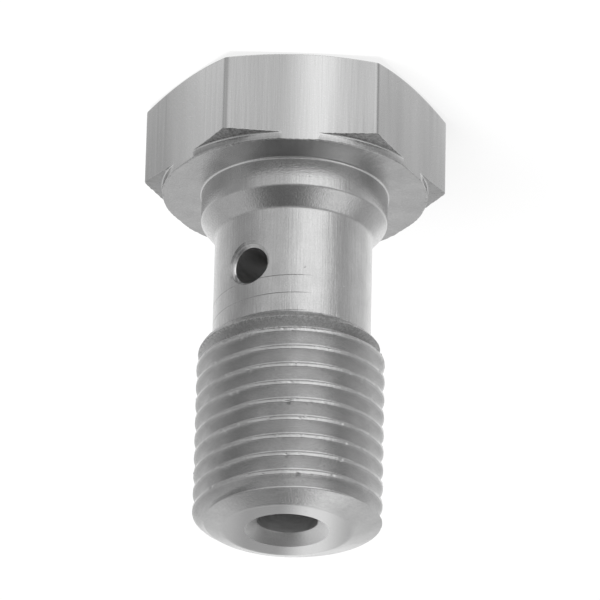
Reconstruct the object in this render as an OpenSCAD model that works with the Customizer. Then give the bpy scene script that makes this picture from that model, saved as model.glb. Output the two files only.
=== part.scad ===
// Banjo bolt M10 x 1 with a hexagon head, a drilled core and a drilled shank.
// It stands on the top of its head: the origin is the centre of that face, and the thread points up.
// Every height below is measured from the bearing face under the head, towards the tip.

/* [Head] */
// Width across the flats of the hexagon
across_flats = 13.85; // [12.5:0.05:17]
// Height of the head, from its top face to the bearing face
head_h = 5.1; // [3.5:0.1:8]
// Radius that softens the upright corners of the hexagon
corner_r = 0.3; // [0.1:0.05:1]
// Diameter of the flat circle that the chamfer leaves on top of the head
top_circle_d = 13.1; // [10:0.1:13.4]
// Slope of the chamfer on top of the head, in degrees from the top face
top_slope = 17.5; // [5:0.5:35]
// Diameter of the washer face, which the flats just touch
washer_d = 14; // [12:0.05:15]
// Height of the washer face
washer_h = 0.42; // [0.2:0.02:1]
// Slope of the relief from the washer face out to the corners, in degrees
relief_slope = 6; // [1:0.5:20]

/* [Collar and shank] */
// Diameter of the collar that centres the eye of the fitting
collar_d = 9.84; // [9:0.02:11]
// Length of the collar from the bearing face to its cone
collar_l = 1.6; // [0.8:0.1:2.4]
// Radius of the fillet between the bearing face and the collar
collar_fillet = 0.15; // [0.05:0.01:0.3]
// Radius that softens the edge between the collar and its cone
collar_edge_r = 0.3; // [0.05:0.05:0.5]
// Length of the cone from the collar down to the shank
cone_l = 0.95; // [0.6:0.05:1.5]
// Diameter of the shank
shank_d = 8.3; // [6.5:0.05:8.7]

/* [Thread] */
// Major diameter of the thread
thread_d = 9.86; // [9.4:0.02:11]
// Pitch of the thread
pitch = 1; // [0.75:0.05:1.25]
// Depth of the thread as a share of its pitch; a pointed tool cuts past the basic profile
depth_share = 0.7; // [0.6:0.01:0.74]
// Height at which the shank ends and the thread starts
thread_start = 8.6; // [7.6:0.05:9.6]
// Slope of the shoulder up to the thread, in degrees from the axis
shoulder_slope = 68; // [40:1:75]
// Radius that rounds the shoulder into the crests
shoulder_r = 1.2; // [0.4:0.1:1.8]
// Angle at which a crest stands at the height where the thread starts, in degrees
thread_turn = 162; // [0:1:359]

/* [Tip] */
// Length from the bearing face to the tip
under_head_l = 19.1; // [15:0.1:26]
// Diameter of the flat face at the tip
tip_face_d = 6.7; // [5:0.1:8]
// Slope of the chamfer at the tip, in degrees from the end face
tip_slope = 18.3; // [10:0.1:40]

/* [Drillings] */
// Diameter of the drilling along the axis
bore_d = 3.15; // [2:0.05:4]
// How far that drilling runs past the axis of the cross drilling, without its drill point
bore_past = 1.35; // [0.8:0.05:2.2]
// Included angle of the drill point
point_angle = 118; // [90:1:140]
// Diameter of the countersink at the mouth of the axial drilling
bore_sink_d = 4.4; // [4.1:0.05:4.9]
// Depth of that countersink
bore_sink_depth = 0.52; // [0.2:0.02:1]
// Diameter of the drilling across the shank
cross_d = 1.95; // [1:0.05:2.4]
// Height of the axis of the cross drilling
cross_height = 5.55; // [5.2:0.05:6]
// Direction of the cross drilling, in degrees round the axis
cross_turn = 306; // [0:1:359]
// Diameter of the countersink at each mouth of the cross drilling
cross_sink_d = 2.65; // [2.45:0.05:3]

/* [Hidden] */

// Steel grey of the turned surface
steel = [0.66, 0.66, 0.66];
// How far a cutter reaches past the face that it opens
over = 0.1;
// Flat steps in a quarter of a small rounding
round_steps = 4;

head_z = head_h;
tip_z = head_h + under_head_l;
corner_reach = across_flats / 2 / cos(30);

// Sections of the metric thread: a flat crest and flanks at this angle
thread_depth = depth_share * pitch;
crest_w = pitch / 8;
flank_angle = 30;
// How far the thread's cutter stands out past the crests, which its turns must not share
groove_over = crest_w / 2;
// Flat steps of the thread groove in one turn
turn_steps = 36;

// Points of an arc round a centre, from one angle to another
function arc(centre, r, from, to, steps = round_steps) = [
    for (i = [0:steps])
        let (a = from + (to - from) * i / steps)
            centre + r * [cos(a), sin(a)]
];

// Outline of the hexagon with softened corners; its flats face along Y
function hexagon_outline() = [
    for (k = [0:5])
        for (i = [0:round_steps])
            let (
                reach = corner_reach - corner_r / cos(30),
                a = 60 * k - 30 + 60 * i / round_steps
            )
                reach * [cos(60 * k), sin(60 * k)] + corner_r * [cos(a), sin(a)]
];

// The head's side of the turned profile, from the axis to the fillet under the head
function head_profile() =
    let (
        past_corner = corner_reach + over,
        top_rise = (past_corner - top_circle_d / 2) * tan(top_slope),
        relief_drop = (past_corner - washer_d / 2) * tan(relief_slope)
    )
        concat(
            [
                [0, 0],
                [top_circle_d / 2, 0],
                [past_corner, top_rise],
                [past_corner, head_z - washer_h - relief_drop],
                [washer_d / 2, head_z - washer_h],
                [washer_d / 2, head_z]
            ],
            arc([collar_d / 2 + collar_fillet, head_z + collar_fillet], collar_fillet, 270, 180)
        );

// The collar's softened lower edge and its cone down to the shank
function collar_profile() =
    let (
        edge_z = head_z + collar_l,
        slope = atan2((collar_d - shank_d) / 2, cone_l),
        back = collar_edge_r * tan(slope / 2)
    )
        concat(
            arc([collar_d / 2 - collar_edge_r, edge_z - back], collar_edge_r, 0, slope),
            [[shank_d / 2, edge_z + cone_l]]
        );

// The shoulder from the shank up to the crests, and the chamfered tip
function thread_profile() =
    let (
        rise = (thread_d - shank_d) / 2,
        round_rise = min(shoulder_r * (1 - cos(shoulder_slope)), rise * 0.9),
        round_r = round_rise / (1 - cos(shoulder_slope)),
        start_z = head_z + thread_start,
        round_z = start_z + (rise - round_rise) / tan(shoulder_slope) + round_r * sin(shoulder_slope),
        chamfer_l = (thread_d - tip_face_d) / 2 * tan(tip_slope)
    )
        concat(
            [[shank_d / 2, start_z]],
            arc([thread_d / 2 - round_r, round_z], round_r, -shoulder_slope, 0),
            [
                [thread_d / 2, tip_z - chamfer_l],
                [tip_face_d / 2, tip_z],
                [0, tip_z]
            ]
        );

// The four corners of the groove's section at one step of the helix, which runs right-handed
function groove_section(i) =
    let (
        turn = 360 * i / turn_steps,
        r_root = thread_d / 2 - thread_depth,
        r_mouth = thread_d / 2 + groove_over,
        mouth_half = (pitch - crest_w) / 2 + groove_over * tan(flank_angle),
        root_half = (pitch - crest_w) / 2 - thread_depth * tan(flank_angle),
        z = head_z + thread_start - 1.5 * pitch + pitch * i / turn_steps
    )
        [
            for (c = [[r_mouth, -mouth_half], [r_root, -root_half], [r_root, root_half], [r_mouth, mouth_half]])
                [c[0] * cos(turn + thread_turn), c[0] * sin(turn + thread_turn), z + c[1]]
        ];

// The cutter that leaves the thread: one groove wound from below the shoulder to past the tip
module thread_groove() {
    thread_l = under_head_l - thread_start;
    steps = ceil((thread_l / pitch + 2.5) * turn_steps);
    last = 4 * steps;
    points = [for (i = [0:steps]) each groove_section(i)];
    sides = [
        for (i = [0:steps - 1])
            for (j = [0:3])
                let (p = 4 * i + j, q = 4 * i + (j + 1) % 4)
                    each [[p, p + 4, q + 4], [p, q + 4, q]]
    ];
    start_cap = [[0, 1, 2], [0, 2, 3]];
    end_cap = [[last + 2, last + 1, last], [last + 3, last + 2, last]];
    polyhedron(points = points, faces = concat(sides, start_cap, end_cap), convexity = 10);
}

// The blank as it comes off the lathe from hexagon bar
module turned_blank() {
    intersection() {
        rotate_extrude($fn = 96)
            polygon(concat(head_profile(), collar_profile(), thread_profile()));
        linear_extrude(height = tip_z)
            polygon(hexagon_outline());
    }
}

// The drilling along the axis, with its drill point and the countersink at the tip
module axial_drilling() {
    floor_z = head_z + cross_height - bore_past;
    bore_depth = tip_z - floor_z;
    point_l = bore_d / 2 / tan(point_angle / 2);
    sink_grow = (bore_sink_d - bore_d) / 2 / bore_sink_depth;
    translate([0, 0, floor_z])
        cylinder(d = bore_d, h = bore_depth + over, $fn = 64);
    translate([0, 0, floor_z - point_l])
        cylinder(d1 = 0, d2 = bore_d, h = point_l, $fn = 64);
    translate([0, 0, tip_z - bore_sink_depth])
        cylinder(d1 = bore_d, d2 = bore_sink_d + 2 * over * sink_grow, h = bore_sink_depth + over, $fn = 64);
}

// The drilling across the shank, right through both walls, with a countersink at each mouth
module cross_drilling() {
    sink_depth = (cross_sink_d - cross_d) / 2;
    translate([0, 0, head_z + cross_height])
        rotate([0, 0, cross_turn])
            rotate([0, 90, 0]) {
                cylinder(d = cross_d, h = shank_d + 2 * over, center = true, $fn = 48);
                for (end = [0, 1])
                    mirror([0, 0, end])
                        translate([0, 0, shank_d / 2 - sink_depth])
                            cylinder(
                                d1 = cross_d,
                                d2 = cross_sink_d + 2 * over,
                                h = sink_depth + over,
                                $fn = 48
                            );
            }
}

module banjo_bolt() {
    color(steel)
        difference() {
            turned_blank();
            thread_groove();
            axial_drilling();
            cross_drilling();
        }
}

banjo_bolt();
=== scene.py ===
import math

import bmesh
import bpy
import numpy as np
from mathutils import Matrix, Vector, noise


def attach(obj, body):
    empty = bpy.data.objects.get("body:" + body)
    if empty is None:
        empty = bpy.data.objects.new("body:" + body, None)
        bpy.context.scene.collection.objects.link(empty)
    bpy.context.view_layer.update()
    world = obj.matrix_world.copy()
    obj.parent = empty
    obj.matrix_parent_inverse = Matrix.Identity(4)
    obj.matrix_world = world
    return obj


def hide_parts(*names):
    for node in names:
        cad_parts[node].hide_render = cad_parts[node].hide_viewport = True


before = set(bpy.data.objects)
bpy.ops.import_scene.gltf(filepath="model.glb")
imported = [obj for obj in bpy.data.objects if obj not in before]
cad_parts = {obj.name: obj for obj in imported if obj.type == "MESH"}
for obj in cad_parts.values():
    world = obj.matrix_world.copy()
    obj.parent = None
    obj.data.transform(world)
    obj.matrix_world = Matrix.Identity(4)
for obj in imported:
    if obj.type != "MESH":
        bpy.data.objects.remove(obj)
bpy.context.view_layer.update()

# The mesh is worked out in millimetres and brought to metres at the end
MM = 0.001

# Points closer than this, in millimetres, are one point
HAIR = 0.001

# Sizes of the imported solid, in millimetres
ACROSS_FLATS = 13.85
HEAD_H = 5.1
CORNER_R = 0.3
TOP_CIRCLE_R = 6.55
TOP_SLOPE = math.radians(17.5)
WASHER_R = 7.0
WASHER_H = 0.42
RELIEF_SLOPE = math.radians(6)
COLLAR_R = 4.92
COLLAR_L = 1.6
CONE_L = 0.95
SHANK_R = 4.15
THREAD_R = 4.93
THREAD_START = 8.6
SHOULDER_R = 1.2
TIP = 19.1
TIP_FACE_R = 3.35
TIP_SLOPE = math.radians(18.3)
BORE_R = 1.575
BORE_FLOOR = 4.2
DRILL_POINT = math.radians(118)
BORE_SINK_R = 2.2
BORE_SINK_DEPTH = 0.52
CROSS_R = 0.975
CROSS_AT = 5.55
CROSS_TURN = math.radians(306)

# Heights that several forms share
WASHER_ROOT = HEAD_H - WASHER_H
CONE_FOOT = HEAD_H + COLLAR_L + CONE_L
TIP_Z = HEAD_H + TIP

# The blank stands a little proud of the crests, and the threading takes that off
BLANK_R = THREAD_R + 0.02
# How far the foot of the ragged shoulder lies back towards the head, and the steps of its arc
SHOULDER_BACK = 0.08
SHOULDER_STEPS = 12
# How far the relief starts from the root of the washer face, towards the top of the head
RELIEF_DROP = 0.02

# Ragged edges as waves: (size in millimetres, grain, seed)
RELIEF_RAG = [(0.03, 30, 3.1), (0.025, 80, 8.4)]
BEARING_RAG = [(0.05, 30, 5.2), (0.06, 75, 1.7)]
SHOULDER_RAG = [(0.03, 12, 2.2), (0.05, 60, 6.6)]
SHOULDER_TORN = [(0.010, 34, 11.5), (0.008, 80, 12.5)]

# Thread: crest height at angle zero, width of the crest, dent in its middle, radius of the root, and slopes
# of the flanks towards the tip and towards the head
CREST_AT = 0.15
CREST_W = 0.16
CREST_DENT = 0.010
ROOT_R = 4.22
FLANK = math.radians(30)
HEAD_FLANK = math.radians(27)
# How far short of the root's depth its rounding starts
ROOT_ROUND = 0.012
# Points of a crest's edge: how far past its half width, as a share of the pitch, and how far below the crest,
# in millimetres
CREST_LIP = [(-0.05, 0.008), (-0.03, 0.002), (-0.012, 0.0)]
TIP_EDGE = [(0.003, 0.008), (0.015, 0.026), (0.03, 0.052)]
HEAD_EDGE = [(0.01, 0.015), (0.01, 0.045)]
# Heights between which the first ridge is torn
RIDGE_FROM = HEAD_H + 8.5
RIDGE_TO = HEAD_H + 9.65

# The plain sleeve round the thread
SLEEVE_R = 5.8
SLEEVE_LOW = HEAD_H + 6.2
SLEEVE_HIGH = TIP_Z + 1.2
SLEEVE_SIDES = 96

# Sides of a drill, how far it reaches past the face that it opens, and radius of the ring next to its point
DRILL_SIDES = 120
PAST = 0.3
POINT_RING = 0.3


def smooth(x, low, high):
    """Smooth step from 0 at low to 1 at high."""
    t = np.clip((x - low) / (high - low), 0, 1)
    return t * t * (3 - 2 * t)


def wander(theta, z, grain, seed):
    """Noise in -1..1 over the turned surface, seamless round the axis."""
    place = np.broadcast_arrays(theta, z)
    out = np.empty(place[0].size)
    for i, (t, h) in enumerate(zip(place[0].ravel(), place[1].ravel())):
        out[i] = noise.noise(Vector((math.cos(t) * grain, math.sin(t) * grain, h * grain / 5 + seed)))
    return out.reshape(place[0].shape)


def ragged(waves, theta, z=0.0):
    """The sum of several waves of noise."""
    return sum(size * wander(theta, z, grain, seed) for size, grain, seed in waves)


def new_object(name, points, faces):
    mesh = bpy.data.meshes.new(name)
    mesh.from_pydata([tuple(p) for p in points], [], faces)
    mesh.validate()
    obj = bpy.data.objects.new(name, mesh)
    bpy.context.scene.collection.objects.link(obj)
    return obj


def turned(name, theta, rings, start, end):
    """A closed mesh from rings of (radius, height) over the angles theta, between two points on the axis."""
    n = len(theta)
    points = [(0, 0, start)]
    for r, z in rings:
        r = np.broadcast_to(r, n)
        z = np.broadcast_to(z, n)
        points.extend(zip(r * np.cos(theta), r * np.sin(theta), z))
    points.append((0, 0, end))
    faces = []
    for i in range(n):
        k = (i + 1) % n
        faces.append((0, 1 + k, 1 + i))
        for j in range(len(rings) - 1):
            a = 1 + j * n
            faces.append((a + i, a + k, a + n + k, a + n + i))
        a = 1 + (len(rings) - 1) * n
        faces.append((a + i, a + k, len(points) - 1))
    return new_object(name, points, faces)


def rounded(corners):
    """Rings along a profile of corners (radius, height, rounding, steps). One without steps stays sharp."""
    rings = []
    for i, (r, z, size, steps) in enumerate(corners):
        if not steps:
            rings.append((r, z))
            continue
        before, after = corners[i - 1], corners[i + 1]
        for t in np.linspace(0, 1, steps + 1):
            point = []
            for axis in (0, 1):
                here = corners[i][axis]
                back = np.hypot(before[0] - r, before[1] - z)
                ahead = np.hypot(after[0] - r, after[1] - z)
                first = here + (before[axis] - here) * np.minimum(size / back, 0.45)
                last = here + (after[axis] - here) * np.minimum(size / ahead, 0.45)
                point.append((1 - t) ** 2 * first + 2 * t * (1 - t) * here + t * t * last)
            rings.append(tuple(point))
    return rings


def cut(obj, cutter):
    """Takes the cutter away from the object and deletes it."""
    modifier = obj.modifiers.new("cut", "BOOLEAN")
    modifier.operation = "DIFFERENCE"
    modifier.solver = "MANIFOLD"
    modifier.object = cutter
    graph = bpy.context.evaluated_depsgraph_get()
    mesh = bpy.data.meshes.new_from_object(obj.evaluated_get(graph))
    obj.modifiers.clear()
    obj.data = mesh
    bpy.data.objects.remove(cutter)


# Over half a flat, in degrees from its middle: where the close steps at the corner begin, and the corner
CORNER_FROM = 26
CORNER = 30
# Steps up to where the washer face meets the flat, from there to the close steps, and up to the corner
HALF_FLAT_STEPS = (11, 20, 10)


def head_angles():
    """Angles round the bolt, close together at the corners, with one where the washer face meets a flat."""
    meets = math.degrees(math.acos(ACROSS_FLATS / 2 / WASHER_R))
    places = (0, meets, CORNER_FROM, CORNER)
    half = np.concatenate([
        np.linspace(start, end, steps, endpoint=False)
        for start, end, steps in zip(places, places[1:], HALF_FLAT_STEPS)
    ])
    sector = np.concatenate([half, 2 * CORNER - np.append(half[1:], CORNER)[::-1]])
    return np.radians(np.concatenate([sector + 2 * CORNER * k - 90 for k in range(6)]))


def hexagon_radius(theta):
    """Distance from the axis to the outline of the hexagon, with its corners rounded."""
    flat = ACROSS_FLATS / 2
    from_flat = (theta + math.pi / 2 + math.pi / 6) % (math.pi / 3) - math.pi / 6
    reach = (flat - CORNER_R) / math.cos(math.pi / 6)
    turn = math.pi / 6 - np.abs(from_flat)
    corner = reach * np.cos(turn) + np.sqrt(np.maximum(CORNER_R ** 2 - (reach * np.sin(turn)) ** 2, 0))
    on_flat = np.abs(from_flat) <= math.atan(reach / 2 / flat)
    return np.where(on_flat, flat / np.cos(from_flat), corner)


def head_rings(theta):
    """The chamfered head with its relief and washer face, the collar with its cone, and the shank."""
    hexagon = hexagon_radius(theta)
    washer = np.minimum(hexagon, WASHER_R)
    bearing = HEAD_H + np.minimum(ragged(BEARING_RAG, theta), 0.0)
    relief = WASHER_ROOT - RELIEF_DROP - np.maximum(hexagon - WASHER_R, 0) * math.tan(RELIEF_SLOPE)
    return rounded([
        (3.0, 0.0, 0, 0),
        (TOP_CIRCLE_R, 0.0, 0.2, 3),
        (hexagon, (hexagon - TOP_CIRCLE_R) * math.tan(TOP_SLOPE), 0.05, 2),
        (hexagon, relief + ragged(RELIEF_RAG, theta), 0.03, 2),
        (washer, WASHER_ROOT, 0.07, 4),
        (washer, bearing, 0.07, 3),
        (WASHER_R - 0.15, HEAD_H, 0, 0),
        (COLLAR_R, HEAD_H, 0.15, 6),
        (COLLAR_R, HEAD_H + COLLAR_L, 0.11, 5),
        (SHANK_R, CONE_FOOT, 0.14, 4),
        (SHANK_R, HEAD_H + 5.0, 0, 0),
        (SHANK_R, HEAD_H + 7.0, 0, 0),
        (SHANK_R, HEAD_H + 8.0, 0, 0),
    ])


def shoulder_rings(theta):
    """The torn shoulder, which rises in an arc from the shank to where the crests begin."""
    rise = BLANK_R - SHANK_R
    foot = math.acos(1 - rise / SHOULDER_R)
    waver = ragged(SHOULDER_RAG, theta) - SHOULDER_BACK
    rings = []
    for t in np.linspace(0, 1, SHOULDER_STEPS):
        angle = foot * (1 - t)
        r = BLANK_R - SHOULDER_R * (1 - math.cos(angle)) + ragged(SHOULDER_TORN, theta, t * rise)
        z = HEAD_H + THREAD_START + SHOULDER_R * (math.sin(foot) - math.sin(angle))
        rings.append((r, z + waver * (1 - t)))
    return rings


def tip_rings():
    """The stock that the thread is cut from, the chamfer, and the end face in narrow rings."""
    chamfer = (BLANK_R - TIP_FACE_R) * math.tan(TIP_SLOPE)
    return rounded([
        (BLANK_R, HEAD_H + 14.0, 0, 0),
        (BLANK_R, TIP_Z - chamfer, 0.02, 1),
        (TIP_FACE_R, TIP_Z, 0.10, 3),
        (2.6, TIP_Z, 0, 0),
        (1.0, TIP_Z, 0, 0),
    ])


def blank():
    """The turned hexagon bar, from the top of the head to the tip, before threading and drilling."""
    theta = head_angles()
    rings = head_rings(theta) + shoulder_rings(theta) + tip_rings()
    return turned("banjo_bolt_steel", theta, rings, 0.0, TIP_Z)


def flank(edge, slope, shares):
    """The points of a crest's edge, followed by its flank down to the rounding at the root."""
    depth = THREAD_R - ROOT_R
    start, start_depth = edge[-1]
    whole = list(edge)
    for share in shares:
        down = start_depth + (depth - start_depth) * share
        whole.append((start + (down - start_depth) * math.tan(slope), down))
    whole.append((start + (depth - start_depth) * math.tan(slope), depth - ROOT_ROUND))
    return whole


def thread_section():
    """One pitch of the thread, from one dented crest to the next: shares of the pitch, and radii."""
    half = CREST_W / 2
    tip_edge = [(0.0, CREST_DENT)] + [(half + past, down) for past, down in CREST_LIP + TIP_EDGE]
    head_edge = [(half + past, down) for past, down in CREST_LIP + HEAD_EDGE]
    tip_side = flank(tip_edge, FLANK, (0.3, 0.6, 0.9))
    head_side = flank(head_edge, HEAD_FLANK, (0.5, 0.9))
    root = ((tip_side[-1][0] + 1 - head_side[-1][0]) / 2, THREAD_R - ROOT_R)
    whole = tip_side + [root] + [(1 - share, down) for share, down in head_side[::-1]]
    return [(share, THREAD_R - down) for share, down in whole]


# Turned back by this angle, the side of the shank where the scored lines are deepest
SCORE_TURN = math.radians(46)
# How far off the shank the threading tool runs, how much closer it comes where the lines are deepest, and how
# uneven they are
SCORE_OFF = 0.012
SCORE_REACH = 0.026
SCORE_GRAIN = 0.004
# Heights above the bearing face over which each kind of wear comes in or goes out
SCORE_COMES = (6.0, 6.4)
SCORE_GOES = (8.5, 8.9)
TORN_COMES = (8.65, 8.75)
TORN_GOES = (9.45, 9.6)
FIRST_RIDGE_GOES = (9.4, 10.2)
DENT_GOES = (17.7, 18.2)
# How near the crest and the root their wear begins
NEAR_CREST = 0.08
NEAR_ROOT = 0.04
# Wear of the crests in millimetres: long and short waves, nicks, burrs and an even loss
CREST_WAVES = 0.005
CREST_GRAIN = 0.002
NICK = 0.035
BURR = 0.02
CREST_LOSS = 0.006
# The crests waver along the axis, and the burrs lean towards the head
CREST_WAVER = 0.006
BURR_LEAN = 0.02
# The first ridge is lower and rougher, and its flanks are torn
FIRST_RIDGE_LOSS = 0.01
FIRST_RIDGE_GRAIN = 0.06
TORN_WAVES = 0.016
TORN_GRAIN = 0.006
# Turns of the screw, counted in pitches from the bearing face, and steps in one turn
FIRST_TURN = 4
LAST_TURN = 22
TURN_STEPS = 320


def thread_wear(turn, height, radius):
    """How far wear and burrs move the thread's surface outwards and towards the tip, in millimetres."""
    near_crest = smooth(radius, THREAD_R - NEAR_CREST, THREAD_R)
    near_root = smooth(-radius, -ROOT_R - NEAR_ROOT, -ROOT_R)
    rough = wander(turn, height, 25, 4.0)
    fine = wander(turn, height, 70, 9.0)
    nicks = smooth(wander(turn, height, 22, 13.0), 0.42, 0.6)
    burrs = smooth(wander(turn, height, 30, 21.0), 0.45, 0.6)
    uneven = CREST_WAVES * rough + CREST_GRAIN * fine - NICK * nicks + BURR * burrs
    radial = near_crest * (uneven - CREST_LOSS)
    dent = (THREAD_R - radius) * (radius > THREAD_R - CREST_DENT - HAIR)
    radial += dent * smooth(height, *DENT_GOES)
    first_ridge = 1 - smooth(height, *FIRST_RIDGE_GOES)
    radial -= near_crest * first_ridge * (FIRST_RIDGE_LOSS + FIRST_RIDGE_GRAIN * np.abs(fine))
    torn = smooth(height, *TORN_COMES) * (1 - smooth(height, *TORN_GOES))
    radial += torn * (TORN_WAVES * wander(turn, height, 30, 31.0) + TORN_GRAIN * fine)
    scored = smooth(height, *SCORE_COMES) * (1 - smooth(height, *SCORE_GOES))
    deep = SCORE_REACH * smooth(np.cos(turn + SCORE_TURN), 0.35, 0.75) - SCORE_OFF
    radial -= near_root * scored * (ROOT_R - SHANK_R + deep + SCORE_GRAIN * rough)
    axial = near_crest * (CREST_WAVER * wander(turn, height, 55, 17.0) - BURR_LEAN * burrs)
    return radial, axial


def screw():
    """A long right-handed screw with burred crests, whose root just scores the shank below the thread."""
    section = thread_section()
    size = len(section)
    turns = range(FIRST_TURN, LAST_TURN)
    share = np.array([n + s for n in turns for s, _ in section])
    radius = np.array([r for _ in turns for _, r in section])[None, :]
    rows = len(share)
    turn = (np.arange(TURN_STEPS) * 2 * math.pi / TURN_STEPS)[:, None]
    height = CREST_AT + share[None, :] + turn / (2 * math.pi)
    radial, axial = thread_wear(turn, height, radius)
    r = radius + radial
    z = HEAD_H + height + axial
    points = np.stack([r * np.cos(turn), r * np.sin(turn), z], axis=-1).reshape(-1, 3).tolist()
    faces = []
    for i in range(TURN_STEPS):
        k, shift = (i + 1, 0) if i + 1 < TURN_STEPS else (0, size)
        for j in range(rows - 1 - shift):
            faces.append((i * rows + j, k * rows + j + shift, k * rows + j + shift + 1, i * rows + j + 1))
    top = rows - 1
    low = [i * rows for i in range(TURN_STEPS)] + list(range(size, 0, -1))
    high = [i * rows + top for i in range(TURN_STEPS)]
    high += [(TURN_STEPS - 1) * rows + j for j in range(top - 1, top - 1 - size, -1)]
    points += [(0, 0, HEAD_H + FIRST_TURN), (0, 0, HEAD_H + LAST_TURN + 1)]
    for loop, centre, flip in ((low, len(points) - 2, True), (high, len(points) - 1, False)):
        for a, b in zip(loop, loop[1:] + loop[:1]):
            faces.append((b, a, centre) if flip else (a, b, centre))
    return new_object("screw", points, faces)


def groove():
    """What the threading tool takes off: a plain sleeve round the thread, less the screw itself."""
    theta = np.linspace(0, 2 * math.pi, SLEEVE_SIDES, endpoint=False)
    rings = [(SLEEVE_R, SLEEVE_LOW), (SLEEVE_R, SLEEVE_HIGH)]
    sleeve = turned("sleeve", theta, rings, SLEEVE_LOW, SLEEVE_HIGH)
    cut(sleeve, screw())
    return sleeve


def axial_drill():
    """The drill along the axis, with its point, its rounded corners and the countersink at the tip."""
    theta = np.linspace(0, 2 * math.pi, DRILL_SIDES, endpoint=False)
    floor_z = HEAD_H + BORE_FLOOR
    point = BORE_R / math.tan(DRILL_POINT / 2)
    grow = (BORE_SINK_R - BORE_R) / BORE_SINK_DEPTH
    rings = rounded([
        (POINT_RING, floor_z - point * (1 - POINT_RING / BORE_R), 0, 0),
        (BORE_R, floor_z, 0.05, 2),
        (BORE_R, HEAD_H + 10.0, 0, 0),
        (BORE_R, HEAD_H + 16.0, 0, 0),
        (BORE_R, TIP_Z - BORE_SINK_DEPTH, 0.05, 2),
        (BORE_SINK_R, TIP_Z, 0, 0),
        (BORE_SINK_R + PAST * grow, TIP_Z + PAST, 0, 0),
    ])
    return turned("axial_drill", theta, rings, floor_z - point, TIP_Z + PAST)


# Side of the drilled mouth that chattered, counted from the side towards the head
CHATTER_TURN = math.radians(50)
# Rings of the mouth: distance out from the drill's own radius, and depth below the shank's wall
BEVEL = [(0.0, 0.18), (0.05, 0.115), (0.11, 0.06), (0.17, 0.02)]
CHATTER = [(0.20, 0.035), (0.24, 0.0), (0.27, 0.032), (0.31, 0.0), (0.34, 0.028), (0.38, -0.01)]
# Where there is no chatter, the drill stays this far above the wall
CHATTER_CLEAR = 0.012
# How far the rim of the mouth wavers at the first chatter mark, and where that mark is
MOUTH_WAVER = 0.012
MOUTH_WIDTH = 0.2
# Half the length of the drill's plain middle, and how much wider the drill is past its mouth
MIDDLE_HALF = 1.0
MOUTH_PAST = 0.6


def cross_drill():
    """The drill across the shank. Its bevelled mouths follow the round wall and are chattered on one side."""
    theta = np.linspace(0, 2 * math.pi, DRILL_SIDES, endpoint=False)
    chatter = smooth(np.cos(theta - CHATTER_TURN), 0.1, 0.75)
    waver = MOUTH_WAVER * wander(theta, 0.0, 9, 4.4)
    side = [(CROSS_R, MIDDLE_HALF)]
    marks = [(out, depth * chatter - CHATTER_CLEAR * (1 - chatter)) for out, depth in CHATTER]
    for out, depth in BEVEL + marks:
        r = CROSS_R + out + waver * out / MOUTH_WIDTH
        wall = np.sqrt(SHANK_R ** 2 - (r * np.sin(theta)) ** 2)
        side.append((r, wall - depth))
    top = SHANK_R + PAST
    side.append((CROSS_R + MOUTH_PAST, top))
    rings = [(r, -d) for r, d in side[::-1]] + side
    drill = turned("cross_drill", theta, rings, -top, top)
    lift = Matrix.Translation((0, 0, HEAD_H + CROSS_AT))
    aim = Matrix.Rotation(CROSS_TURN, 4, "Z") @ Matrix.Rotation(math.pi / 2, 4, "Y")
    drill.data.transform(lift @ aim)
    return drill


# Flats of the hexagon: turn of the normal, and place, half width and strength of a painted highlight, a soft
# lighter streak
PAINTED_HIGHLIGHT_STREAKS = [
    (-90, 0.95, 2.3, 1.0),
    (-30, 2.6, 5.6, 1.0),
    (-150, 0.0, 1.5, 0.05),
    (30, -0.8, 3.0, 0.4),
    (90, 0.6, 2.6, 0.6),
    (150, 1.2, 3.4, 0.3),
]


def mark_flats(mesh):
    """Keeps each point's distance from the middle of its flat, and the painted highlight of the flat's streak
    there.
    """
    place = np.empty(len(mesh.vertices) * 3)
    mesh.vertices.foreach_get("co", place)
    x, y = place.reshape(-1, 3).T[:2]
    turn = np.degrees(np.arctan2(y, x))
    edge = np.zeros(len(x))
    painted_highlight = np.zeros(len(x))
    for at, centre, half, strength in PAINTED_HIGHLIGHT_STREAKS:
        here = np.abs((turn - at + 180) % 360 - 180) <= CORNER
        a = math.radians(at)
        over = x * math.sin(a) - y * math.cos(a)
        edge[here] = np.abs(over[here])
        # The streak is a painted highlight: a soft lighter band across the flat
        painted_highlight[here] = strength * smooth(-np.abs(over[here] - centre), -half, 0)
    for name, values in (("edge", edge), ("painted_highlight", painted_highlight)):
        mesh.attributes.new(name, "FLOAT", "POINT").data.foreach_set("value", values)


def drop_slivers(mesh):
    """Joins points that the cuts left a hair apart, and takes out pairs of faces that lie on each other."""
    work = bmesh.new()
    work.from_mesh(mesh)
    bmesh.ops.triangulate(work, faces=work.faces)
    # Splitting the faces anew can leave a few new slivers, and the second round takes those
    for _ in range(2):
        bmesh.ops.dissolve_degenerate(work, edges=work.edges, dist=HAIR)
        bmesh.ops.triangulate(work, faces=work.faces)
    over_points = {}
    for face in work.faces:
        over_points.setdefault(frozenset(face.verts), []).append(face)
    doubled = [face for pair in over_points.values() if len(pair) > 1 for face in pair]
    bmesh.ops.delete(work, geom=doubled, context="FACES")
    loose = [edge for edge in work.edges if not edge.link_faces]
    bmesh.ops.delete(work, geom=loose, context="EDGES")
    work.to_mesh(mesh)
    work.free()


# A face is on the shank when its middle is this near the wall and it leans no more than this. The rounding at
# the foot of the cone ends this far up.
ON_WALL = 0.004
ALONG_WALL = 0.02
FOOT_ROUND = 0.2


def shank_openings(mesh):
    """For each edge, whether a cut opens the plain shank there; the shading stays even up to such an edge."""
    sides = {}
    for face in mesh.polygons:
        x, y, z = face.center
        on_shank = abs(math.hypot(x, y) - SHANK_R) < ON_WALL and abs(face.normal.z) < ALONG_WALL
        plain = on_shank or z < CONE_FOOT + FOOT_ROUND
        for key in face.edge_keys:
            sides.setdefault(key, set()).add(plain)
    return [len(sides[edge.key]) > 1 for edge in mesh.edges]


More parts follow.
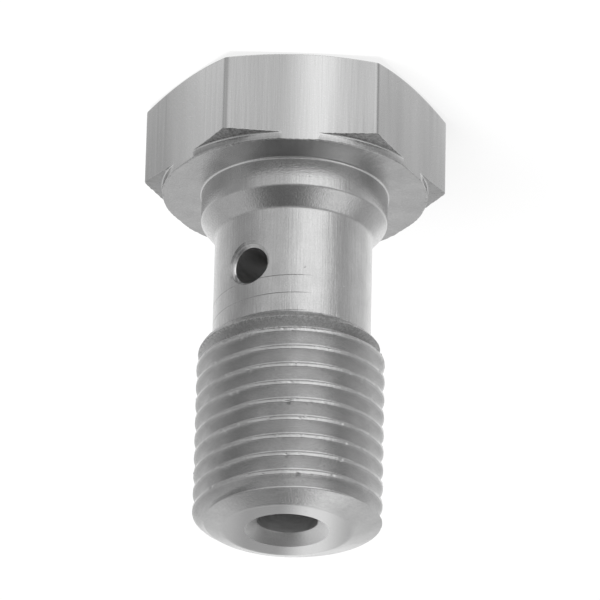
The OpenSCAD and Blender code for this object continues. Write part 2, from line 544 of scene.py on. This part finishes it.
# Places in the list of the bolt's materials
TURNED, DRAWN, DRILLED, RELIEVED = range(4)
# No flat comes nearer the axis than this
FLAT_REACH = 6.85
# The drillings lie above the first of these heights, and the relief above the second
HEAD_TOP_END = 0.5
RELIEF_FROM = 2
SHARP_ANGLE = math.radians(35)


def region(face):
    """The place of a face's material in the list, told by its middle. Limits lie a little off the edges."""
    x, y, z = face.center
    r = math.hypot(x, y)
    outward = (face.normal.x * x + face.normal.y * y) / max(r, 1e-6)
    upright = abs(face.normal.z) < 0.2
    off_washer = z < WASHER_ROOT - 0.08 or r < WASHER_R - 0.005
    if upright and r > FLAT_REACH and z < HEAD_H - 0.08 and off_washer:
        return DRAWN
    in_bore = outward < 0.3 and r < BORE_R + 0.01 and z < TIP_Z - BORE_SINK_DEPTH + 0.02
    in_shank = r < SHANK_R - 0.5 and z < TIP_Z - 1
    if z > HEAD_TOP_END and (in_bore or in_shank):
        return DRILLED
    towards_tip = face.normal.z > 0.6
    if towards_tip and r > WASHER_R - 0.01 and RELIEF_FROM < z < WASHER_ROOT - 0.01:
        return RELIEVED
    return TURNED


def finish_steel(obj):
    """Brings the mesh to metres, marks its sharp edges and gives each region its own material."""
    mesh = obj.data
    mark_flats(mesh)
    regions = [region(face) for face in mesh.polygons]
    opened = shank_openings(mesh)
    mesh.transform(Matrix.Scale(MM, 4))
    mesh.materials.clear()
    for material in (turned_steel(), drawn_steel(), drilled_steel(), relieved_steel()):
        mesh.materials.append(material)
    mesh.polygons.foreach_set("material_index", regions)
    mesh.polygons.foreach_set("use_smooth", [True] * len(regions))
    mesh.set_sharp_from_angle(angle=SHARP_ANGLE)
    for edge, sharp in zip(mesh.edges, opened):
        edge.use_edge_sharp = edge.use_edge_sharp or sharp
    shading = obj.modifiers.new("shading", "WEIGHTED_NORMAL")
    shading.keep_sharp = True
    shading.weight = 80


class Nodes:
    """Short calls for a node tree."""

    def __init__(self, tree):
        self.tree = tree
        tree.nodes.clear()

    def add(self, kind, inputs=None, **settings):
        node = self.tree.nodes.new(kind)
        for name, value in settings.items():
            setattr(node, name, value)
        for name, value in (inputs or {}).items():
            socket = node.inputs[name]
            if isinstance(value, bpy.types.NodeSocket):
                self.tree.links.new(value, socket)
            else:
                socket.default_value = value
        return node

    def math(self, operation, a, b=0.0, c=0.0, clamp=False):
        return self.add("ShaderNodeMath", {0: a, 1: b, 2: c}, operation=operation, use_clamp=clamp).outputs[0]

    def product(self, first, *others):
        for other in others:
            first = self.math("MULTIPLY", first, other)
        return first

    def total(self, base, *parts):
        """The base and each (value, weight) added to it."""
        for value, weight in parts:
            base = self.math("MULTIPLY_ADD", value, weight, base)
        return base

    def length(self, a, b):
        return self.math("SQRT", self.math("ADD", self.product(a, a), self.product(b, b)))

    def ramp(self, value, low, high, out_low=0.0, out_high=1.0):
        """A soft step between two places; low may be the higher one."""
        node = self.add("ShaderNodeMapRange", {
            "Value": value, "From Min": low, "From Max": high, "To Min": out_low, "To Max": out_high,
        }, interpolation_type="SMOOTHSTEP")
        return node.outputs["Result"]

    def above(self, value, edge, width=0.02):
        """0 up to an edge and 1 past a short step there."""
        return self.ramp(value, edge, edge + width)

    def below(self, value, edge, width=0.02):
        """0 from an edge up and 1 below a short step there."""
        return self.ramp(value, edge, edge - width)

    def within(self, value, low, high, rise=0.02, fall=0.02):
        """1 between two places and 0 outside, with a short step inside each."""
        return self.product(self.above(value, low, rise), self.below(value, high, fall))

    def blend(self, share, before, after):
        node = self.add("ShaderNodeMix", {"Factor": share, "A": before, "B": after}, data_type="FLOAT")
        return node.outputs["Result"]

    def dot(self, a, b):
        return self.add("ShaderNodeVectorMath", {0: a, 1: b}, operation="DOT_PRODUCT").outputs["Value"]

    def attribute(self, name):
        return self.add("ShaderNodeAttribute", attribute_name=name).outputs["Fac"]

    def neutral(self, level):
        """The neutral colour of a level."""
        parts = {"Red": level, "Green": level, "Blue": level}
        return self.add("ShaderNodeCombineColor", parts).outputs["Color"]

    def noise(self, vector, scale, detail=2.0, rough=0.5):
        node = self.add("ShaderNodeTexNoise", {
            "Vector": vector, "Scale": scale, "Detail": detail, "Roughness": rough,
        })
        return node.outputs["Fac"]

    def scaled(self, vector, x, y, z):
        node = self.add("ShaderNodeVectorMath", {0: vector, 1: (x, y, z)}, operation="MULTIPLY")
        return node.outputs["Vector"]


def steel_material(name):
    """A new material, its nodes, and the place on the bolt in millimetres."""
    material = bpy.data.materials.new(name)
    material.use_nodes = True
    nodes = Nodes(material.node_tree)
    place = nodes.add("ShaderNodeTexCoord").outputs["Object"]
    return material, nodes, nodes.scaled(place, 1 / MM, 1 / MM, 1 / MM)


def close_material(nodes, colour, roughness, height, depth):
    """Bare metal of that colour and roughness, with bumps of a height up to the depth in millimetres."""
    bump = nodes.add("ShaderNodeBump", {"Strength": 1.0, "Distance": depth * MM, "Height": height})
    shader = nodes.add("ShaderNodeBsdfPrincipled", {
        "Base Color": colour, "Roughness": roughness, "Normal": bump.outputs["Normal"], "Metallic": 1.0,
    })
    nodes.add("ShaderNodeOutputMaterial", {"Surface": shader.outputs["BSDF"]})


def grey(nodes, factor, dark, light):
    """A neutral colour between two levels."""
    node = nodes.add("ShaderNodeMix", {"Factor": factor}, data_type="RGBA")
    node.inputs["A"].default_value = (dark, dark, dark, 1)
    node.inputs["B"].default_value = (light, light, light, 1)
    return node.outputs["Result"]


class TurnedSurface:
    """A place on the turned steel, in millimetres, and the patterns that its height and colour share."""

    def __init__(self, nodes, place):
        self.nodes = nodes
        self.place = place
        self.x, self.y, self.z = nodes.add("ShaderNodeSeparateXYZ", {"Vector": place}).outputs
        self.aside = nodes.math("ABSOLUTE", self.x)
        self.r = nodes.length(self.x, self.y)
        self.angle = nodes.math("ARCTAN2", self.y, self.x)
        self.turns = nodes.math("DIVIDE", self.angle, 2 * math.pi)
        self.streaks = nodes.noise(nodes.scaled(place, 1.0, 1.0, 0.04), scale=11.0, detail=3.0, rough=0.7)
        self.grain = nodes.noise(place, scale=9.0, detail=4.0, rough=0.65)
        self.cells = nodes.add("ShaderNodeTexVoronoi", {"Vector": place, "Scale": 0.9}).outputs["Distance"]
        self.torn = nodes.within(self.z, RIDGE_FROM - 0.05, RIDGE_TO, rise=0.05, fall=0.5)
        self.sink = nodes.product(nodes.above(self.z, TIP_Z - 0.6), nodes.below(self.r, BORE_SINK_R))

    def height(self):
        """Rings that follow the turning and the thread, drawn streaks, grain and small pits."""
        nodes = self.nodes
        threaded = nodes.within(self.z, RIDGE_FROM, TIP_Z - 0.5, rise=0.02, fall=0.1)
        wound = nodes.math("SUBTRACT", self.z, nodes.product(self.turns, threaded))
        ring_place = nodes.add("ShaderNodeCombineXYZ", {"X": self.r, "Y": self.angle, "Z": wound}).outputs[0]
        rings = nodes.noise(ring_place, scale=14.0, detail=3.0, rough=0.6)
        drawn = nodes.product(self.streaks, nodes.below(self.z, TIP_Z - 0.6, width=0.05))
        pits = nodes.ramp(self.cells, 0.03, 0.06)
        return nodes.total(
            nodes.product(drawn, 1.2),
            (rings, 0.5),
            (self.grain, 0.8),
            (nodes.product(self.grain, self.torn), 1.8),
            (pits, 1.5),
            (nodes.product(self.grain, self.sink), 1.5),
        )

    def roughness(self):
        """Roughness, which is higher on the torn ridge and in the countersink."""
        nodes = self.nodes
        return nodes.total(nodes.ramp(self.grain, 0.3, 0.7, 0.18, 0.26), (self.torn, 0.2), (self.sink, 0.16))

    def thread_wear(self):
        """How light the worn thread is: darker specks on the torn first ridge with a painted highlight along
        its edge, and painted shade on the tip's side of each crest.
        """
        nodes = self.nodes
        pitches = nodes.math("SUBTRACT", nodes.math("SUBTRACT", self.z, HEAD_H + CREST_AT), self.turns)
        phase = nodes.math("FRACT", pitches)
        # Painted highlight: a ragged lighter line along the first ridge's edge
        painted_ridge_glint = nodes.product(
            nodes.ramp(phase, 0.09, 0.14),
            nodes.ramp(phase, 0.25, 0.19),
            self.torn,
            nodes.ramp(self.grain, 0.46, 0.54),
        )
        patches = nodes.noise(self.place, scale=9.0, detail=3.0, rough=0.7)
        speckle = nodes.ramp(patches, 0.38, 0.62, 0.30, 0.04)
        # Painted shade under each crest, on its tip's side
        painted_crest_shade = nodes.product(
            nodes.ramp(phase, 0.12, 0.15),
            nodes.ramp(phase, 0.42, 0.18),
            nodes.ramp(self.z, RIDGE_TO - 0.3, RIDGE_TO),
            nodes.below(self.z, TIP_Z - 0.5, width=0.2),
        )
        return nodes.total(1.0, (painted_ridge_glint, 0.2), (nodes.product(self.torn, speckle), -1.0), (painted_crest_shade, -0.12))

    def painted_glints(self):
        """Painted glints along roundings: the collar's fillet, and the washer face's root and rim."""
        nodes = self.nodes
        fillet = nodes.within(self.z, HEAD_H + 0.01, HEAD_H + 0.10, rise=0.02, fall=0.03)
        fillet = nodes.product(fillet, nodes.ramp(self.aside, 0.3, 2.2, 0.10, 1.0))
        root = nodes.within(self.z, WASHER_ROOT - 0.01, WASHER_ROOT + 0.08)
        rim = nodes.within(self.z, HEAD_H - 0.10, HEAD_H - 0.004, rise=0.03, fall=0.01)
        rim = nodes.product(rim, nodes.ramp(self.grain, 0.4, 0.6, 0.0, 0.5))
        return nodes.total(fillet, (root, 0.7), (rim, 1.0))

    def lip(self):
        """The lip of the drilling across the shank."""
        nodes = self.nodes
        across = nodes.product(self.x, math.sin(CROSS_TURN))
        beside = nodes.math("SUBTRACT", across, nodes.product(self.y, math.cos(CROSS_TURN)))
        from_drill = nodes.length(beside, nodes.math("SUBTRACT", self.z, HEAD_H + CROSS_AT))
        return nodes.within(from_drill, CROSS_R + 0.005, CROSS_R + 0.06, rise=0.01, fall=0.03)

    def scored(self):
        """The lines that the threading tool scored into the shank, as a mask for painted shade in them."""
        nodes = self.nodes
        depth = nodes.within(self.r, SHANK_R - 0.03, SHANK_R - 0.001, rise=0.005, fall=0.003)
        return nodes.product(depth, nodes.below(self.z, HEAD_H + 8.1))

    def plain_grey(self):
        """Grey of the turned surface with its marks, painted glints and painted shade in the scored lines.
        The washer face's side has painted shade, darker towards the corners.
        """
        nodes = self.nodes
        clouds = nodes.noise(self.place, scale=0.8, detail=2.0)
        tone = nodes.product(clouds, nodes.ramp(self.cells, 0.0, 0.05, 0.5, 1.0))
        bearing = nodes.within(self.z, HEAD_H - 0.3, HEAD_H + 0.01, rise=0.2, fall=0.005)
        # Painted shade on the washer face's side, darker towards the corners, under the head's corners
        side = nodes.within(self.z, WASHER_ROOT - 0.03, HEAD_H - 0.004, rise=0.02, fall=0.01)
        return nodes.total(
            0.48,
            (tone, 0.18),
            (self.lip(), 0.10),
            # Painted shade: the scored lines are darkened
            (self.scored(), -0.12),
            (self.streaks, 0.16),
            # Painted glints: lighter lines along the roundings
            (self.painted_glints(), 0.23),
            (bearing, -0.10),
            (side, nodes.ramp(nodes.attribute("edge"), 1.6, 3.9, -0.03, -0.14)),
        )

    def face_grey_with_painted_band(self):
        """Grey of the end face, with a painted highlight in a soft band to one side, and of its countersink,
        lighter towards its sides.
        """
        nodes = self.nodes
        # Painted highlight: a soft lighter band across the end face to one side, and a fainter one to the
        # other
        painted_band = nodes.product(nodes.ramp(self.x, 0.6, -1.25), nodes.ramp(self.x, -3.4, -1.6, 0.25, 1.0))
        painted_band = nodes.math("ADD", painted_band, nodes.ramp(self.x, 1.9, 3.3, 0.0, 0.32))
        sink_side = nodes.ramp(self.aside, 0.9, 2.0, 0.0, 0.20)
        return nodes.total(0.40, (painted_band, 0.59), (self.sink, sink_side))

    def colour(self):
        """The neutral colour of the turned surface and the end face, with the worn thread, painted
        highlights, glints and shade, and fine specks.
        """
        nodes = self.nodes
        face = nodes.above(self.z, TIP_Z - 0.62, width=0.04)
        face = nodes.product(face, nodes.below(self.r, 3.60, width=0.45))
        specks = nodes.noise(self.place, scale=15.0, detail=2.0, rough=0.7)
        speck = nodes.ramp(specks, 0.3, 0.7, 0.95, 1.05)
        level = nodes.blend(face, self.plain_grey(), self.face_grey_with_painted_band())
        return nodes.neutral(nodes.product(level, self.thread_wear(), speck))


def turned_steel():
    """Lathe-turned surfaces: fine rings round the axis, faint streaks along it, and small pits."""
    material, nodes, place = steel_material("turned_steel")
    surface = TurnedSurface(nodes, place)
    close_material(nodes, surface.colour(), surface.roughness(), surface.height(), depth=0.008)
    return material


def drawn_steel():
    """The flats: drawn bar with grain along the axis, a painted highlight in a soft lighter streak, lighter
    towards the sides and darker at the corners.
    """
    material, nodes, place = steel_material("drawn_steel")
    grain = nodes.noise(nodes.scaled(place, 1.0, 1.0, 0.04), scale=9.0, detail=4.0, rough=0.65)
    mottle = nodes.noise(place, scale=12.0, detail=4.0, rough=0.65)
    edge = nodes.attribute("edge")
    tone = nodes.noise(nodes.scaled(place, 1.0, 1.0, 0.1), scale=1.2, detail=2.0)
    # The streak read here is a painted highlight, a soft lighter band across each flat
    tone = nodes.total(nodes.product(nodes.attribute("painted_highlight"), 0.85), (tone, 0.3))
    tone = nodes.math("ADD", tone, nodes.ramp(edge, 2.2, 3.6, 0.0, 0.12), clamp=True)
    level = nodes.product(nodes.total(0.48, (tone, 0.38)), nodes.ramp(edge, 3.80, 3.90, 1.0, 0.94))
    roughness = nodes.ramp(mottle, 0.3, 0.7, 0.26, 0.36)
    close_material(nodes, nodes.neutral(level), roughness, nodes.total(grain, (mottle, 0.2)), depth=0.006)
    return material


def drilled_steel():
    """Inside the drillings: rougher, with drill marks round the axis."""
    material, nodes, place = steel_material("drilled_steel")
    marks = nodes.noise(nodes.scaled(place, 0.4, 0.4, 3.0), scale=3.0, detail=3.0, rough=0.6)
    colour = grey(nodes, marks, 0.58, 0.74)
    roughness = nodes.ramp(marks, 0.3, 0.7, 0.40, 0.52)
    close_material(nodes, colour, roughness, marks, depth=0.008)
    return material


def relieved_steel():
    """The relief under the corners of the head: left rough by the tool, dark, and lighter towards two sides.
    """
    material, nodes, place = steel_material("relieved_steel")
    grain = nodes.noise(place, scale=7.0, detail=4.0, rough=0.65)
    aside = nodes.math("ABSOLUTE", nodes.add("ShaderNodeSeparateXYZ", {"Vector": place}).outputs["X"])
    # Lighter towards the two sides, away from x = 0
    lighter_aside = nodes.ramp(aside, 5.0, 7.6, 0.0, 0.55)
    colour = grey(nodes, nodes.math("ADD", nodes.ramp(grain, 0.3, 0.7), lighter_aside), 0.28, 0.58)
    roughness = nodes.ramp(grain, 0.3, 0.7, 0.4, 0.55)
    close_material(nodes, colour, roughness, grain, depth=0.02)
    return material


# The camera's place, seen from the bolt: turn, tilt, roll, distance and aim in millimetres, and its lens
VIEW_TURN = math.radians(1.87)
VIEW_TILT = math.radians(24.786)
VIEW_ROLL = math.radians(1.323)
VIEW_DISTANCE = 355.094
VIEW_AIM = (0.401, 5.970)
LENS = 405.98


def camera():
    """The camera, which looks down at the middle of the bolt, with the tip at the foot of the picture."""
    side = Vector((-math.cos(VIEW_TURN), -math.sin(VIEW_TURN), 0))
    near = Vector((math.sin(VIEW_TURN), -math.cos(VIEW_TURN), 0))
    along = Vector((0, 0, 1))
    down = along * math.cos(VIEW_TILT) - near * math.sin(VIEW_TILT)
    back = near * math.cos(VIEW_TILT) + along * math.sin(VIEW_TILT)
    aim = side * VIEW_AIM[0] + along * (HEAD_H + VIEW_AIM[1])
    right = side * math.cos(VIEW_ROLL) - down * math.sin(VIEW_ROLL)
    up = -(side * math.sin(VIEW_ROLL) + down * math.cos(VIEW_ROLL))
    data = bpy.data.cameras.new("camera")
    data.lens = LENS
    data.sensor_width = 36
    data.clip_start = 0.01
    data.clip_end = 10
    obj = bpy.data.objects.new("camera", data)
    turn = Matrix((right, up, back)).transposed().to_4x4()
    obj.matrix_world = Matrix.Translation((aim + back * VIEW_DISTANCE) * MM) @ turn
    bpy.context.scene.collection.objects.link(obj)
    bpy.context.scene.camera = obj


def seen_or_mirrored(nodes):
    """1 for what the camera sees straight, in a mirror or through glass."""
    path = nodes.add("ShaderNodeLightPath")
    either = nodes.math("ADD", path.outputs["Is Camera Ray"], path.outputs["Is Glossy Ray"])
    return nodes.math("ADD", either, path.outputs["Is Transmission Ray"], clamp=True)


# Floor: half its width in metres, its own grey, and the level and share of the white that the eye sees on it
FLOOR_HALF = 1.5
FLOOR_GREY = 0.9
FLOOR_WHITE = 1.02
FLOOR_WHITE_SHARE = 0.8


def floor():
    """A pale floor, near white to the eye, with the bolt's soft shadow. The steel mirrors the cards alone."""
    half = FLOOR_HALF
    corners = [(-half, -half, 0), (half, -half, 0), (half, half, 0), (-half, half, 0)]
    obj = new_object("floor", corners, [(0, 1, 2, 3)])
    material = bpy.data.materials.new("floor")
    material.use_nodes = True
    nodes = Nodes(material.node_tree)
    matt = nodes.add("ShaderNodeBsdfDiffuse", {"Color": (FLOOR_GREY, FLOOR_GREY, FLOOR_GREY, 1)})
    white = nodes.add("ShaderNodeEmission", {"Color": (1, 1, 1, 1), "Strength": FLOOR_WHITE})
    share = nodes.product(seen_or_mirrored(nodes), FLOOR_WHITE_SHARE)
    mix = nodes.add("ShaderNodeMixShader", {0: share, 1: matt.outputs[0], 2: white.outputs[0]})
    nodes.add("ShaderNodeOutputMaterial", {"Surface": mix.outputs[0]})
    obj.data.materials.append(material)
    obj.visible_glossy = False


# Soft cards of the white studio round the bolt, with angles in degrees. Side is counted from the camera's
# side, to the right in the picture, and tilt is up from the floor.
# Below the bolt: (side, inner and outer half angle, level)
LOW_CARDS = [
    (-80, 40, 85, 0.62),
    (-78, 8, 46, 0.35),
    (-20, 8, 32, 0.60),
    (30, 10, 34, 1.10),
    (112, 8, 40, 0.68),
    (76, 4, 36, 0.42),
]
# Above it, on a grey ceiling: (side, tilt, inner and outer half angle, level)
HIGH_CARDS = [
    (180, 18, 20, 42, 0.68),
    (180, 64, 8, 25, 0.22),
    (-140, 14, 8, 34, 0.62),
    (140, 20, 8, 34, 0.62),
    (-85, 34, 14, 40, 0.52),
    (64, 44, 8, 32, 0.88),
    (-22, 50, 14, 40, 0.15),
    (-20, 74, 6, 20, 0.18),
    (96, 60, 10, 24, 0.22),
    (50, 76, 8, 22, 0.32),
]
CEILING = 0.38
# A long strip of light over the bolt, from behind it to nearly straight above. As parts of a direction: how
# far right in the picture it hangs, its half width, and where it comes in at its near and its far end
STRIP_RIGHT = 0.20
STRIP_HALF = 0.17
STRIP_NEAR = (0.0, -0.15)
STRIP_FAR = (-0.74, -0.58)
STRIP_LEVEL = 1.25
# Upward part of a direction over which the lower cards give way to the upper ones
HORIZON = (-0.12, 0.22)


def towards(side, tilt=0.0):
    """The direction of a card in the frame."""
    side, tilt = math.radians(side), math.radians(tilt)
    turn = -math.pi / 2 + VIEW_TURN - side
    return (math.cos(turn) * math.cos(tilt), math.sin(turn) * math.cos(tilt), math.sin(tilt))


# Keeps the arc cosine in its range
COSINE_END = 0.99999


def card(nodes, direction, aim, inner, outer, before, brightness):
    """A round card with a soft rim, in front of what is there before."""
    angle = nodes.math("ARCCOSINE", nodes.math("MINIMUM", nodes.dot(direction, aim), COSINE_END))
    share = nodes.ramp(angle, math.radians(outer), math.radians(inner))
    return nodes.blend(share, before, brightness)


def studio():
    """A white studio, dimmed by soft grey cards in mirror images and plain white where the camera looks."""
    world = bpy.data.worlds.new("studio")
    bpy.context.scene.world = world
    world.use_nodes = True
    nodes = Nodes(world.node_tree)
    way = nodes.add("ShaderNodeTexCoord").outputs["Generated"]
    level_way = nodes.add("ShaderNodeVectorMath", {0: nodes.scaled(way, 1, 1, 0)}, operation="NORMALIZE")
    low = 1.0
    for side, inner, outer, brightness in LOW_CARDS:
        low = card(nodes, level_way.outputs["Vector"], towards(side), inner, outer, low, brightness)
    high = CEILING
    for side, tilt, inner, outer, brightness in HIGH_CARDS:
        high = card(nodes, way, towards(side, tilt), inner, outer, high, brightness)
    right, near, up = (nodes.dot(way, aim) for aim in (towards(90), towards(0), (0, 0, 1)))
    off = nodes.math("ABSOLUTE", nodes.math("SUBTRACT", right, STRIP_RIGHT))
    strip = nodes.product(
        nodes.ramp(off, STRIP_HALF, 0.0),
        nodes.ramp(near, *STRIP_NEAR),
        nodes.ramp(near, *STRIP_FAR),
    )
    high = nodes.blend(strip, high, STRIP_LEVEL)
    both = nodes.blend(nodes.ramp(up, *HORIZON), low, high)
    path = nodes.add("ShaderNodeLightPath")
    seen = nodes.math("ADD", path.outputs["Is Camera Ray"], path.outputs["Is Transmission Ray"], clamp=True)
    strength = nodes.blend(seen, both, 1.0)
    back = nodes.add("ShaderNodeBackground", {"Color": (1, 1, 1, 1), "Strength": strength})
    nodes.add("ShaderNodeOutputWorld", {"Surface": back.outputs[0]})


def lamp(name, side, tilt, distance, size, power):
    """A soft lamp that lights the floor and leaves the mirror images to the cards."""
    data = bpy.data.lights.new(name, "AREA")
    data.shape = "DISK"
    data.size = size
    data.energy = power
    obj = bpy.data.objects.new(name, data)
    direction = Vector(towards(side, tilt))
    obj.location = direction * distance
    obj.rotation_euler = direction.to_track_quat("Z", "Y").to_euler()
    obj.visible_glossy = False
    bpy.context.scene.collection.objects.link(obj)


bolt = blank()
cut(bolt, groove())
cut(bolt, axial_drill())
cut(bolt, cross_drill())
drop_slivers(bolt.data)
finish_steel(bolt)
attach(bolt, "root")
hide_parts("banjo_bolt")

floor()
studio()
lamp("overhead", side=-40, tilt=60, distance=0.5, size=0.35, power=3.0)
camera()
bpy.context.scene.view_settings.view_transform = "Standard"
